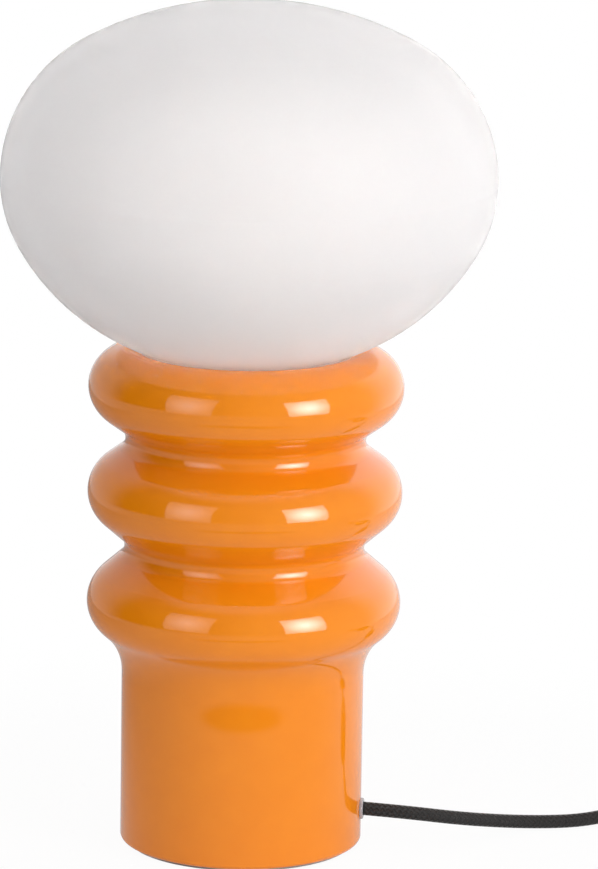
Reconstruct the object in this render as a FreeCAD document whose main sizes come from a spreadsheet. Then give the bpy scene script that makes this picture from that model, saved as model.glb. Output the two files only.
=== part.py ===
"""Table lamp: a glazed ceramic foot of three stacked rings under an opal glass globe.

Every length is in millimetres. +Z is up, the origin is under the middle of the felt ring that the
lamp stands on, the front is towards -Y and the cord leaves the foot towards +X.
"""
import FreeCAD, Part
import Sketcher
import math
import os
import re
from FreeCAD import Placement, Rotation, Vector

SIZES = {
    # ceramic foot, slip-cast with an even wall
    "felt_thickness": 1.5, "felt_inset": 1.8,
    "base_radius": 58, "foot_edge": 2, "wall": 6, "foot_lip": 16,
    "ring_centre": 56.57, "ring_tube": 18.4, "lowest_ring": 118.77, "lower_pitch": 53.58,
    "upper_pitch": 51.1, "waist_radius": 57.2, "lower_flank": 12.1873, "upper_flank": 9.1449,
    "foot_blend": 25.7,
    "recess_radius": 46, "recess_depth": 19.85, "recess_edge": 2, "deck_hole": 5.4,
    # snap-in lid under the foot
    "lid_thickness": 2, "lid_gap": 0.2, "lid_rim": 2.6, "lid_lift": 0.5, "lid_bead": 0.6,
    "lid_bead_height": 1,
    # opal glass globe
    "globe_radius": 117.2, "glass_gap": 0.35, "shoulder_radius": 73.26, "shoulder_angle": 62.17,
    "belly_radius": 64.06, "belly_angle": 29.22, "flank_radius": 111.1,
    "neck_radius": 44.5, "neck_fillet": 5, "glass_wall": 3, "seat_thickness": 2, "seat_margin": 1,
    # cord and the grommet that it passes through
    "cord_diameter": 6.5, "cord_gap": 0.1, "exit_height": 18, "exit_angle": -7,
    "grommet_shank": 4.2, "grommet_gap": 0.1, "grommet_flange": 5.1, "flange_thickness": 1.5,
    "grommet_collar": 4.9, "collar_thickness": 1.4, "collar_gap": 0.45,
    "clamp_length": 12, "clamp_width": 12, "clamp_drop": 5.5, "clamp_rise": 9, "clamp_gap": 0.2,
    "clamp_screw": 1.5, "clamp_screw_depth": 5, "clamp_head": 2.7, "clamp_head_height": 1.8,
    "inner_bend": 34, "lead_straight": 3.5, "link_straight": 5, "tail_straight": 32,
    # clamped joint through the deck
    "nipple_radius": 4.95, "nipple_bore": 3.8, "thread_gap": 0.05, "nipple_tail": 3,
    "cushion_radius": 14, "cushion_thickness": 1, "washer_radius": 13, "washer_thickness": 1.5,
    "nut_flats": 14, "nut_height": 5,
    # lampholder
    "holder_radius": 19.5, "holder_wall": 2.2, "cap_height": 24, "cap_floor": 9, "cap_foot": 13,
    "cap_round": 14, "cap_wall": 4.5, "skirt_height": 34, "skirt_round": 1.5, "lip_radius": 14.9,
    "lip_thickness": 2.5, "core_gap": 0.3, "core_height": 7, "boss_height": 2,
    "shell_radius": 13.5, "shell_wall": 0.6, "shell_height": 22,
    "tongue_width": 5, "tongue_thickness": 0.5, "tongue_rise": 2.2, "tongue_root": 10,
    "tongue_bend": 4, "tongue_tip": 5,
    "block_width": 6, "block_depth": 8, "block_height": 7, "block_place": 8,
    "terminal_screw": 1.3, "terminal_screw_depth": 4, "terminal_head": 2, "terminal_head_height": 1.6,
    "wire_radius": 1.1, "wire_place": 1.3, "wire_start": 1, "wire_turn": 1.8,
    # screw-in bulb
    "bulb_cap_radius": 13.1, "bulb_cap_height": 22, "bulb_tip_radius": 4.5, "bulb_tip_height": 1.4,
    "bulb_tip_gap": 0.3, "insulator_height": 3, "insulator_top": 11, "bulb_collar": 14,
    "bulb_radius": 30, "housing_height": 36, "housing_bow": 70, "dome_wall": 1.5, "dome_skirt": 8,
    # in-line cord switch
    "switch_half": 34, "switch_waist": 15, "switch_end": 7.5, "switch_split": 8.5, "switch_height": 18,
    "switch_floor": 2, "switch_roof": 2.2, "cavity_half": 22, "cavity_width": 8.2, "switch_edge": 2.5,
    "window_half": 10.9, "window_width": 6, "pin_height": 14, "pin_radius": 1.25, "pin_half": 10.5,
    "rocker_half": 9.8, "rocker_width": 5.6, "rocker_rise": 5.4, "rocker_dip": 4.2, "rocker_waist": 9.2,
    "rocker_shoulder": 1.5, "rocker_nose": 3, "rocker_depth": 5, "rocker_tilt": 8, "channel_gap": 0.15,
    "screw_place": 16, "screw_side": 10.8, "screw_radius": 1.3, "screw_head": 2.3, "screw_gap": 0.15,
    "screw_sink": 2.2, "screw_head_height": 1.6, "screw_tip": 12.5,
    "contact_length": 7, "contact_width": 7, "contact_height": 5, "contact_place": 14,
    # two-pin mains plug
    "plug_front": 17.6, "plug_thickness": 13.7, "plug_shoulder": 10, "plug_length": 36, "plug_rear": 7,
    "plug_sweep": 60, "plug_chamfer": 3.5, "plug_edge": 1.2,
    "pin_spacing": 18.6, "pin_core": 1.5, "pin_tip": 2, "pin_length": 19, "sleeve_length": 10,
    "sleeve_radius": 1.9, "sleeve_gap": 0.05, "pin_root": 8,
    "relief_length": 26, "relief_root": 6, "relief_tip": 4.3, "relief_groove": 0.8, "relief_ribs": 5,
    # put-away coil and its tie
    "coil_radius": 46.5, "coil_pitch": 7.1, "layer_rise": 7.1, "tie_thickness": 0.8, "tie_gap": 0.3,
    "tie_width": 8, "tie_inner_gap": 0.6, "tie_corner": 4,
}

# Places on the table, chosen by hand: across (+X), back (+Y) and up.
SWITCH_PLACE = Vector(231, 46.5, 0)
SWITCH_HEADING = 17
COIL_PLACE = Vector(399.5, 9, 0)
PLUG_PLACE = Vector(446, -93, 0)
PLUG_HEADING = -90
INBOUND_TURNS = 2.75
CLIMB_TURNS = 0.5
QUARTERS = 4

doc = FreeCAD.newDocument("table_lamp")
sheet = doc.addObject("Spreadsheet::Sheet", "Sizes")
for row, (name, number) in enumerate(SIZES.items(), start=1):
    sheet.set(f"A{row}", name)
    sheet.set(f"B{row}", str(number))
    sheet.setAlias(f"B{row}", name)
doc.recompute()

WORD = re.compile(r"[a-z_]+")
nodes = []


def bound(text):
    """An expression in which every size is the sheet's cell."""
    return WORD.sub(lambda word: f"Sizes.{word[0]}" if word[0] in SIZES else word[0], text)


def worth(text):
    """The number that an expression of sizes gives."""
    return float(sheet.evalExpression(bound(text)))


def node(piece, label):
    """Name a finished sub-part, so that it is checked and written."""
    piece.Label = label
    nodes.append(piece)
    return piece


def lift(piece, text):
    """Stand a piece at a height."""
    piece.setExpression("Placement.Base.z", bound(text))
    return piece


def sketch_on(body, name, role, height=None):
    """An empty sketch on one of the body's own planes, or at a height over it."""
    sketch = body.newObject("Sketcher::SketchObject", name)
    plane = next(part for part in body.Origin.OriginFeatures if part.Role == role)
    sketch.AttachmentSupport = [(plane, "")]
    sketch.MapMode = "FlatFace"
    if height:
        sketch.setExpression("AttachmentOffset.Base.z", bound(height))
    return sketch


def tie_point(sketch, line, end, across, up):
    """Hold one end of a line or arc at a place given by two expressions."""
    for kind, axis, text in (("DistanceX", -2, across), ("DistanceY", -1, up)):
        if text == "0":
            sketch.addConstraint(Sketcher.Constraint("PointOnObject", line, end, axis))
            continue
        rule = sketch.addConstraint(Sketcher.Constraint(kind, -1, 1, line, end, worth(text)))
        sketch.setExpression(f"Constraints[{rule}]", bound(text))


def arc_between(first, last, radius, turn):
    """An arc of under half a circle whose centre is left or right of the way it runs."""
    chord = last - first
    rise = math.sqrt(max(radius ** 2 - chord.Length ** 2 / 4, 0))
    side = Vector(-chord.y, chord.x, 0).normalize() * (rise if turn == "left" else -rise)
    centre = first + chord * 0.5 + side
    ends = (first, last) if turn == "left" else (last, first)
    angles = [math.atan2(end.y - centre.y, end.x - centre.x) for end in ends]
    return Part.ArcOfCircle(Part.Circle(centre, Vector(0, 0, 1), radius), *angles)


def outline(sketch, corners):
    """Draw a closed outline. A corner (across, up, turn, radius) starts an arc to the next one."""
    places = [Vector(worth(corner[0]), worth(corner[1]), 0) for corner in corners]
    lines = []
    for number, corner in enumerate(corners):
        first = places[number]
        last = places[(number + 1) % len(places)]
        if len(corner) == 2:
            lines.append((sketch.addGeometry(Part.LineSegment(first, last)), 1, 2))
            continue
        turn, radius = corner[2:]
        arc = sketch.addGeometry(arc_between(first, last, worth(radius), turn))
        lines.append((arc, 1, 2) if turn == "left" else (arc, 2, 1))
    for number, (line, start, end) in enumerate(lines):
        after, after_start, after_end = lines[(number + 1) % len(lines)]
        sketch.addConstraint(Sketcher.Constraint("Coincident", line, end, after, after_start))
    for (line, start, end), corner in zip(lines, corners):
        tie_point(sketch, line, start, corner[0], corner[1])
        if len(corner) > 2:
            rule = sketch.addConstraint(Sketcher.Constraint("Radius", line, worth(corner[3])))
            sketch.setExpression(f"Constraints[{rule}]", bound(corner[3]))
    return sketch


def circles(sketch, rounds):
    """Draw circles, each (across, up, radius)."""
    for across, up, radius in rounds:
        middle = Vector(worth(across), worth(up), 0)
        ring = sketch.addGeometry(Part.Circle(middle, Vector(0, 0, 1), worth(radius)))
        tie_point(sketch, ring, 3, across, up)
        rule = sketch.addConstraint(Sketcher.Constraint("Radius", ring, worth(radius)))
        sketch.setExpression(f"Constraints[{rule}]", bound(radius))
    return sketch


def turned(name, corners):
    """A piece turned about its own upright axis from a half outline (radius, height)."""
    body = doc.addObject("PartDesign::Body", name)
    half = outline(sketch_on(body, f"{name}_half", "XZ_Plane"), corners)
    turning = body.newObject("PartDesign::Revolution", f"{name}_turning")
    turning.Profile = half
    turning.ReferenceAxis = (half, ["V_Axis"])
    turning.Angle = 360
    doc.recompute()
    return body


def padded(name, role, draw, depth, height=None, both_ways=False):
    """A piece pushed out from a drawn outline; draw puts the outline on the sketch."""
    body = doc.addObject("PartDesign::Body", name)
    face = sketch_on(body, f"{name}_face", role, height)
    draw(face)
    pad = body.newObject("PartDesign::Pad", f"{name}_pad")
    pad.Profile = face
    pad.setExpression("Length", bound(depth))
    pad.Midplane = both_ways
    doc.recompute()
    return body


def pocket(body, name, role, draw, depth, height=None, both_ways=False, forward=True):
    """Cut a drawn outline into a body, and make sure that it took something away."""
    before = body.Shape.Volume
    face = sketch_on(body, name, role, height)
    draw(face)
    cut = body.newObject("PartDesign::Pocket", f"{name}_cut")
    cut.Profile = face
    cut.setExpression("Length", bound(depth))
    cut.Midplane = both_ways
    cut.Reversed = forward
    doc.recompute()
    if not body.Shape.Volume < before:
        raise ValueError(f"{name} cut nothing")
    return body


def round_edges(body, name, radius, chosen, kind="PartDesign::Fillet"):
    """Round or chamfer the edges that a test picks by their middle point and direction."""
    names = []
    for number, edge in enumerate(body.Shape.Edges, start=1):
        middle = body.Placement.inverse().multVec(edge.CenterOfMass)
        if chosen(edge, middle):
            names.append(f"Edge{number}")
    base = body.Tip
    feature = body.newObject(kind, name)
    feature.Base = (base, names)
    feature.setExpression("Radius" if kind.endswith("Fillet") else "Size", bound(radius))
    doc.recompute()
    return body


def pair(label, piece, middle, normal):
    """One node of two like solids: a piece and its mirror image."""
    twin = doc.addObject("Part::Mirroring", f"{label}_twin")
    twin.Source = piece
    twin.Normal = normal
    for axis, text in zip("xyz", middle):
        if text != "0":
            twin.setExpression(f"Base.{axis}", bound(text))
    both = doc.addObject("Part::Compound", label)
    both.Links = [piece, twin]
    return node(both, label)


# Shared heights and places of the ceramic rings
PITCHES = ["lower_pitch", "upper_pitch"]
FLANKS = ["lower_flank", "upper_flank"]
WAIST_STEP = "(waist_radius - ring_centre)"
BLEND_REACH = "(ring_tube + foot_blend)"
BLEND_SHIFT = "(base_radius + foot_blend - ring_centre)"
BLEND_DROP = f"sqrt({BLEND_REACH} ^ 2 - {BLEND_SHIFT} ^ 2)"
RINGS = ["lowest_ring", "(lowest_ring + lower_pitch)", "(lowest_ring + lower_pitch + upper_pitch)"]
FOOT = "felt_thickness"
OPENING = "(base_radius - foot_lip)"
DECK = f"({RINGS[2]} + ring_tube - recess_depth)"
DECK_UNDER = f"({DECK} - wall)"


def waist_round(pitch, flank):
    """The hollow radius that lets a straight flank of this length touch ring and waist, and the
    way, out and up, from the ring's centre to where its round runs into that flank."""
    rise = f"({pitch} / 2)"
    room = f"({rise} ^ 2 + {WAIST_STEP} ^ 2 - ring_tube ^ 2 - {flank} ^ 2)"
    hollow = f"({room} / (2 * (ring_tube - {WAIST_STEP})))"
    shift = f"({WAIST_STEP} + {hollow})"
    reach = f"(ring_tube + {hollow})"
    square = f"({rise} ^ 2 + {shift} ^ 2)"
    out = f"(({reach} * {shift} + {flank} * {rise}) / {square})"
    up = f"(({reach} * {rise} - {flank} * {shift}) / {square})"
    return hollow, out, up


def ring_wall(depth, turns):
    """The wavy wall from the lowest ring's underside to the top ring's crown, at one depth."""
    ring_turn, waist_turn = turns
    tube = f"(ring_tube - {depth})"
    points = [(f"(ring_centre + {tube} * {BLEND_SHIFT} / {BLEND_REACH})",
               f"({RINGS[0]} - {tube} * {BLEND_DROP} / {BLEND_REACH})")]
    arcs = [(ring_turn, tube)]
    for lower, upper, pitch, flank in zip(RINGS, RINGS[1:], PITCHES, FLANKS):
        hollow, out, up = waist_round(pitch, flank)
        waist = f"({hollow} + {depth})"
        ring_side = f"(ring_centre + {tube} * {out})"
        waist_side = f"(waist_radius + {hollow} - {waist} * {out})"
        points += [
            (ring_side, f"({lower} + {tube} * {up})"),
            (waist_side, f"({lower} + {pitch} / 2 - {waist} * {up})"),
            (waist_side, f"({lower} + {pitch} / 2 + {waist} * {up})"),
            (ring_side, f"({upper} - {tube} * {up})"),
        ]
        arcs += [(), (waist_turn, waist), (), (ring_turn, tube)]
    points.append(("ring_centre", f"({RINGS[2]} + {tube})"))
    return points, arcs


def ceramic_base():
    """The slip-cast foot: wavy outside, the same wave inside, a sunk deck on top, open below."""
    outer, outer_arcs = ring_wall("0", ("left", "right"))
    inner, inner_arcs = ring_wall("wall", ("right", "left"))
    blend_height = f"({RINGS[0]} - {BLEND_DROP})"
    mouth = f"({RINGS[2]} + sqrt(ring_tube ^ 2 - (ring_centre - recess_radius) ^ 2))"
    gutter = f"({RINGS[2]} + sqrt((ring_tube - wall) ^ 2 - (ring_centre - recess_radius - wall) ^ 2))"
    corners = [
        (OPENING, FOOT),
        ("base_radius - foot_edge", FOOT, "left", "foot_edge"),
        ("base_radius", f"{FOOT} + foot_edge"),
        ("base_radius", blend_height, "right", "foot_blend"),
    ]
    corners += [point + arc for point, arc in zip(outer, outer_arcs)]
    corners += [
        outer[-1] + ("left", "ring_tube"),
        ("recess_radius", mouth),
        ("recess_radius", DECK),
        ("deck_hole", DECK),
        ("deck_hole", DECK_UNDER),
        ("recess_radius + wall", DECK_UNDER),
        ("recess_radius + wall", gutter, "right", "ring_tube - wall"),
    ]
    corners += [point + arc for point, arc in zip(inner[::-1], inner_arcs[::-1])]
    corners += [
        inner[0] + ("left", "foot_blend + wall"),
        ("base_radius - wall", blend_height),
        ("base_radius - wall", f"{FOOT} + wall"),
        (OPENING, f"{FOOT} + wall"),
    ]
    body = turned("ceramic_base", corners)
    mouth_height = worth(mouth)
    round_edges(body, "recess_rounding", "recess_edge",
                lambda edge, middle: abs(middle.z - mouth_height) < 0.01)
    hole = [("0", "exit_height", "grommet_shank + grommet_gap")]
    pocket(body, "cord_hole", "YZ_Plane", lambda face: circles(face, hole), "2 * base_radius")
    body.setExpression("Placement.Rotation.Angle", bound("exit_angle"))
    return node(body, "ceramic_base")


def under_the_foot():
    """The felt ring and the snap-in lid."""
    felt = turned("foot_felt", [
        (f"{OPENING} + felt_inset", "0"),
        ("base_radius - foot_edge - felt_inset", "0"),
        ("base_radius - foot_edge - felt_inset", FOOT),
        (f"{OPENING} + felt_inset", FOOT),
    ])
    node(felt, "foot_felt")
    side = f"({OPENING} - lid_gap)"
    under = f"({FOOT} + lid_lift)"
    ledge = f"({FOOT} + wall + lid_gap)"
    lid = turned("base_lid", [
        ("0", under),
        (side, under),
        (side, ledge),
        (f"{OPENING} + lid_bead", ledge),
        (side, f"{ledge} + lid_bead_height"),
        (f"{side} - lid_rim", f"{ledge} + lid_bead_height"),
        (f"{side} - lid_rim", f"{under} + lid_thickness"),
        ("0", f"{under} + lid_thickness"),
    ])
    node(lid, "base_lid")


def glass_globe():
    """The blown globe: arcs from the crown to the neck, and the same arcs one glass wall inside."""
    crown = "(shoulder_radius + (globe_radius - shoulder_radius) / cos(shoulder_angle))"
    shoulder_centre = "(globe_radius - shoulder_radius)"
    belly_centre = "(globe_radius - belly_radius)"
    flank_out = f"({belly_centre} - (flank_radius - belly_radius) * cos(belly_angle))"
    over_ring = f"sqrt((flank_radius + ring_tube + glass_gap) ^ 2 - (ring_centre - {flank_out}) ^ 2)"
    flank_up = f"({RINGS[2]} + {over_ring})"
    equator = f"({flank_up} - (flank_radius - belly_radius) * sin(belly_angle))"
    crown_centre = f"({equator} - ({crown} - shoulder_radius) * sin(shoulder_angle))"
    fillet_out = "(neck_radius + neck_fillet)"
    fillet_drop = f"sqrt((flank_radius + neck_fillet) ^ 2 - ({fillet_out} - {flank_out}) ^ 2)"
    share = "(flank_radius + neck_fillet)"
    neck_end = f"{DECK} + seat_thickness"

    def side(depth):
        flank = f"(flank_radius - {depth})"
        return [
            (f"neck_radius - {depth}", f"{flank_up} - {fillet_drop}"),
            (f"{flank_out} + {flank} * ({fillet_out} - {flank_out}) / {share}",
             f"{flank_up} - {flank} * {fillet_drop} / {share}"),
            (f"{belly_centre} + (belly_radius - {depth}) * cos(belly_angle)",
             f"{equator} - (belly_radius - {depth}) * sin(belly_angle)"),
            (f"globe_radius - {depth}", equator),
            (f"{shoulder_centre} + (shoulder_radius - {depth}) * cos(shoulder_angle)",
             f"{equator} + (shoulder_radius - {depth}) * sin(shoulder_angle)"),
            ("0", f"{crown_centre} + {crown} - {depth}"),
        ]

    def bends(depth):
        return [f"neck_fillet + {depth}", f"flank_radius - {depth}", f"belly_radius - {depth}",
                f"shoulder_radius - {depth}", f"{crown} - {depth}"]

    outside, inside = side("0"), side("glass_wall")
    turns = ["right", "left", "left", "left", "left"]
    back = ["left", "right", "right", "right", "right"]
    corners = [("neck_radius - glass_wall", neck_end), ("neck_radius", neck_end)]
    corners += [point + arc for point, arc in zip(outside, zip(turns, bends("0")))]
    corners += [outside[-1]]
    inward = list(zip(back, bends("glass_wall")))
    corners += [point + arc for point, arc in zip(inside[:0:-1], inward[::-1])]
    corners += [inside[0]]
    node(turned("glass_globe", corners), "glass_globe")
    ring = turned("seat_ring", [
        ("neck_radius - glass_wall - seat_margin", DECK),
        ("neck_radius + seat_margin", DECK),
        ("neck_radius + seat_margin", neck_end),
        ("neck_radius - glass_wall - seat_margin", neck_end),
    ])
    node(ring, "seat_ring")


CORD_RADIUS = "(cord_diameter / 2)"
FLANGE_FACE = "(base_radius + flange_thickness)"
COLLAR_FACE = "(base_radius - wall - collar_gap - collar_thickness)"
CLAMP_END = f"({COLLAR_FACE} - clamp_gap)"


def turn_outwards(piece, along):
    """Lay a piece's own axis along the cord's way out of the foot."""
    spin = Rotation(Vector(0, 0, 1), worth("exit_angle")) * Rotation(Vector(0, 1, 0), 90)
    way = Rotation(Vector(0, 0, 1), worth("exit_angle")).multVec(Vector(1, 0, 0))
    piece.Placement = Placement(way * worth(along) + Vector(0, 0, worth("exit_height")), spin)
    return piece


def cord_exit():
    """The clear grommet in the wall, and the clamp that holds the cord behind it."""
    wall_in = "(base_radius - wall - collar_gap)"
    bore = f"({CORD_RADIUS} + cord_gap)"
    grommet = turned("cord_grommet", [
        (bore, COLLAR_FACE),
        ("grommet_collar", COLLAR_FACE),
        ("grommet_collar", wall_in),
        ("grommet_shank", wall_in),
        ("grommet_shank", "base_radius"),
        ("grommet_flange", "base_radius"),
        ("grommet_flange", f"{FLANGE_FACE} - flange_thickness / 2", "left", "flange_thickness / 2"),
        ("grommet_flange - flange_thickness / 2", FLANGE_FACE),
        (bore, FLANGE_FACE),
    ])
    node(turn_outwards(grommet, "0"), "cord_grommet")
    half = "clamp_width / 2"
    edge = [(f"-{half}", "-clamp_drop"), (half, "-clamp_drop"), (half, "clamp_rise - clamp_width / 2", "left",
            half), ("0", "clamp_rise", "left", half), (f"-{half}", "clamp_rise - clamp_width / 2")]
    clamp = padded("cord_clamp", "YZ_Plane", lambda face: outline(face, edge), "clamp_length")
    pocket(clamp, "clamp_bore", "YZ_Plane", lambda face: circles(face, [("0", "0", bore)]),
           "clamp_length")
    seat = [("clamp_length / 2", "0", "clamp_screw + thread_gap")]
    pocket(clamp, "clamp_thread", "XY_Plane", lambda face: circles(face, seat), "clamp_screw_depth",
           height="clamp_rise", forward=False)
    flat = [("clamp_length / 2", "0", "clamp_head + clamp_gap")]
    pocket(clamp, "clamp_flat", "XY_Plane", lambda face: circles(face, flat), "clamp_head_height",
           height="clamp_rise", forward=False)
    start = f"({CLAMP_END} - clamp_length)"
    spin = Rotation(Vector(0, 0, 1), worth("exit_angle"))
    clamp.Placement = Placement(spin.multVec(Vector(worth(start), 0, worth("exit_height"))), spin)
    node(clamp, "cord_clamp")
    screw = turned("cord_clamp_screw", [
        ("0", "0"), ("clamp_screw", "0"), ("clamp_screw", "clamp_screw_depth - clamp_head_height"),
        ("clamp_head", "clamp_screw_depth - clamp_head_height"), ("clamp_head", "clamp_screw_depth"),
        ("0", "clamp_screw_depth"),
    ])
    screw_foot = worth("exit_height + clamp_rise - clamp_screw_depth")
    foot = Vector(worth(f"{start} + clamp_length / 2"), 0, screw_foot)
    screw.Placement = Placement(spin.multVec(foot), spin)
    node(screw, "cord_clamp_screw")


HOLDER_FOOT = f"({DECK} + cushion_thickness + washer_thickness)"
NUT_TOP = f"({DECK_UNDER} - cushion_thickness - washer_thickness)"
NIPPLE_END = "(cap_floor - thread_gap)"


def disc_ring(name, inner, outer, thickness):
    """A flat washer standing on its own origin."""
    return turned(name, [(inner, "0"), (outer, "0"), (outer, thickness), (inner, thickness)])


def deck_joint():
    """Hollow nipple, cushion and clamp washers on both sides of the deck, and the nut below."""
    bottom = f"({NUT_TOP} - nut_height - nipple_tail)"
    top = f"({HOLDER_FOOT} + {NIPPLE_END})"
    nipple = turned("nipple", [
        ("nipple_bore", bottom), ("nipple_radius", bottom), ("nipple_radius", top), ("nipple_bore", top),
    ])
    node(nipple, "nipple")
    deck_middle = ("0", "0", f"{DECK} - wall / 2")
    hole = "nipple_radius + thread_gap"
    cushion = disc_ring("upper_cushion", hole, "cushion_radius", "cushion_thickness")
    pair("cushion_washers", lift(cushion, DECK), deck_middle, Vector(0, 0, 1))
    washer = disc_ring("upper_washer", hole, "washer_radius", "washer_thickness")
    pair("clamp_washers", lift(washer, f"{DECK} + cushion_thickness"), deck_middle, Vector(0, 0, 1))
    flat = "(nut_flats / 2)"
    point = "(nut_flats / sqrt(3))"
    hexagon = [(point, "0"), (f"{point} / 2", flat), (f"-{point} / 2", flat), (f"-{point}", "0"),
               (f"-{point} / 2", f"-{flat}"), (f"{point} / 2", f"-{flat}")]
    nut = padded("lock_nut", "XY_Plane", lambda face: outline(face, hexagon), "nut_height")
    pocket(nut, "nut_thread", "XY_Plane", lambda face: circles(face, [("0", "0", hole)]), "nut_height")
    node(lift(nut, f"{NUT_TOP} - nut_height"), "lock_nut")


SKIRT_TOP = "(cap_height + skirt_height)"
CORE_TOP = "(cap_height + core_height)"
BOSS_TOP = f"({CORE_TOP} + boss_height)"
BULB_FOOT = f"({HOLDER_FOOT} + {BOSS_TOP} + tongue_rise + tongue_thickness + bulb_tip_gap)"


def lampholder():
    """Cap, skirt and insert of the screw lampholder with its contacts and terminals."""
    cap = turned("holder_cap", [
        ("nipple_radius + thread_gap", "0"),
        ("cap_foot", "0", "left", "cap_round"),
        ("holder_radius", "cap_height / 2"),
        ("holder_radius", "cap_height"),
        ("holder_radius - cap_wall", "cap_height"),
        ("holder_radius - cap_wall", "cap_floor"),
        ("nipple_radius + thread_gap", "cap_floor"),
    ])
    node(lift(cap, HOLDER_FOOT), "holder_cap")
    inside = "(holder_radius - holder_wall)"
    skirt = turned("holder_skirt", [
        (inside, "cap_height"),
        ("holder_radius", "cap_height"),
        ("holder_radius", f"{SKIRT_TOP} - skirt_round", "left", "skirt_round"),
        ("holder_radius - skirt_round", SKIRT_TOP),
        ("lip_radius", SKIRT_TOP),
        ("lip_radius", f"{SKIRT_TOP} - lip_thickness"),
        (inside, f"{SKIRT_TOP} - lip_thickness"),
    ])
    node(lift(skirt, HOLDER_FOOT), "holder_skirt")
    core = turned("holder_core", [
        ("0", "cap_height"), (f"{inside} - core_gap", "cap_height"), (f"{inside} - core_gap", CORE_TOP),
        ("shell_radius - core_gap", CORE_TOP), ("shell_radius - core_gap", BOSS_TOP), ("0", BOSS_TOP),
    ])
    node(lift(core, HOLDER_FOOT), "holder_core")
    outer = "shell_radius + shell_wall"
    shell = disc_ring("screw_shell", "shell_radius", outer, "shell_height")
    node(lift(shell, f"{HOLDER_FOOT} + {CORE_TOP}"), "screw_shell")
    strip = [
        ("-tongue_root", "0"), ("-tongue_bend", "0"), ("tongue_tip / 2", "tongue_rise"),
        ("tongue_tip", "tongue_rise"), ("tongue_tip", "tongue_rise + tongue_thickness"),
        ("tongue_tip / 2", "tongue_rise + tongue_thickness"), ("-tongue_bend", "tongue_thickness"),
        ("-tongue_root", "tongue_thickness"),
    ]
    tongue = padded("centre_contact", "XZ_Plane", lambda face: outline(face, strip), "tongue_width",
                    both_ways=True)
    node(lift(tongue, f"{HOLDER_FOOT} + {BOSS_TOP}"), "centre_contact")
    terminals()


def terminals():
    """Two brass blocks under the insert, each with a clamping screw in its outer face."""
    near, far = "block_place - block_width / 2", "block_place + block_width / 2"
    side = "block_depth / 2"
    base = "(cap_height - block_height)"
    square = [(near, f"-{side}"), (far, f"-{side}"), (far, side), (near, side)]
    block = padded("terminal_block", "XY_Plane", lambda face: outline(face, square), "block_height",
                   height=base)
    hole = [("0", f"{base} + block_height / 2", "terminal_screw + thread_gap")]
    pocket(block, "terminal_thread", "YZ_Plane", lambda face: circles(face, hole), "terminal_screw_depth",
           height=far, forward=False)
    pair("terminal_blocks", lift(block, HOLDER_FOOT), ("0", "0", "0"), Vector(1, 0, 0))
    screw = turned("terminal_screw_one", [
        ("0", "0"), ("terminal_screw", "0"), ("terminal_screw", "terminal_screw_depth"),
        ("terminal_head", "terminal_screw_depth"),
        ("terminal_head", "terminal_screw_depth + terminal_head_height"),
        ("0", "terminal_screw_depth + terminal_head_height"),
    ])
    screw_height = worth(f"{HOLDER_FOOT} + {base} + block_height / 2")
    seat = Vector(worth(f"{far} - terminal_screw_depth"), 0, screw_height)
    screw.Placement = Placement(seat, Rotation(Vector(0, 1, 0), 90))
    pair("terminal_screws", screw, ("0", "0", "0"), Vector(1, 0, 0))


def bulb():
    """The bulb from its foot contact up: insulator, screw cap, housing and diffusing dome."""
    cap_foot_up = "(bulb_tip_height + insulator_height)"
    cap_top = f"({cap_foot_up} + bulb_cap_height)"
    housing_top = f"({cap_top} + housing_height)"
    tip = turned("bulb_contact", [
        ("0", "0"), ("bulb_tip_radius - bulb_tip_height", "0", "left", "bulb_tip_height"),
        ("bulb_tip_radius", "bulb_tip_height"), ("0", "bulb_tip_height"),
    ])
    node(lift(tip, BULB_FOOT), "bulb_contact")
    insulator = turned("bulb_insulator", [
        ("0", "bulb_tip_height"), ("bulb_tip_radius", "bulb_tip_height"),
        ("insulator_top", cap_foot_up), ("0", cap_foot_up),
    ])
    node(lift(insulator, BULB_FOOT), "bulb_insulator")
    cap = turned("bulb_cap", [
        ("0", cap_foot_up), ("bulb_cap_radius", cap_foot_up), ("bulb_cap_radius", cap_top), ("0", cap_top),
    ])
    node(lift(cap, BULB_FOOT), "bulb_cap")
    housing = turned("bulb_housing", [
        ("0", cap_top), ("bulb_collar", cap_top, "right", "housing_bow"),
        ("bulb_radius", housing_top), ("bulb_radius", f"{housing_top} + dome_skirt / 2"),
        ("0", f"{housing_top} + dome_skirt / 2"),
    ])
    node(lift(housing, BULB_FOOT), "bulb_housing")
    dome_foot = f"({housing_top} + dome_skirt / 2)"
    dome = turned("bulb_dome", [
        ("bulb_radius - dome_wall", dome_foot),
        ("bulb_radius", dome_foot),
        ("bulb_radius", f"{dome_foot} + dome_skirt", "left", "bulb_radius"),
        ("0", f"{dome_foot} + dome_skirt + bulb_radius"),
        ("0", f"{dome_foot} + dome_skirt + bulb_radius - dome_wall", "right", "bulb_radius - dome_wall"),
        ("bulb_radius - dome_wall", f"{dome_foot} + dome_skirt"),
    ])
    node(lift(dome, BULB_FOOT), "bulb_dome")


def on_the_table(piece, place, heading, height, tilt=None):
    """Put a piece of the cord's fittings where it lies, turned to its heading."""
    turn = Rotation(Vector(0, 0, 1), heading)
    piece.Placement = Placement(place + Vector(0, 0, height), turn if tilt is None else turn * tilt)
    return piece


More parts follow.
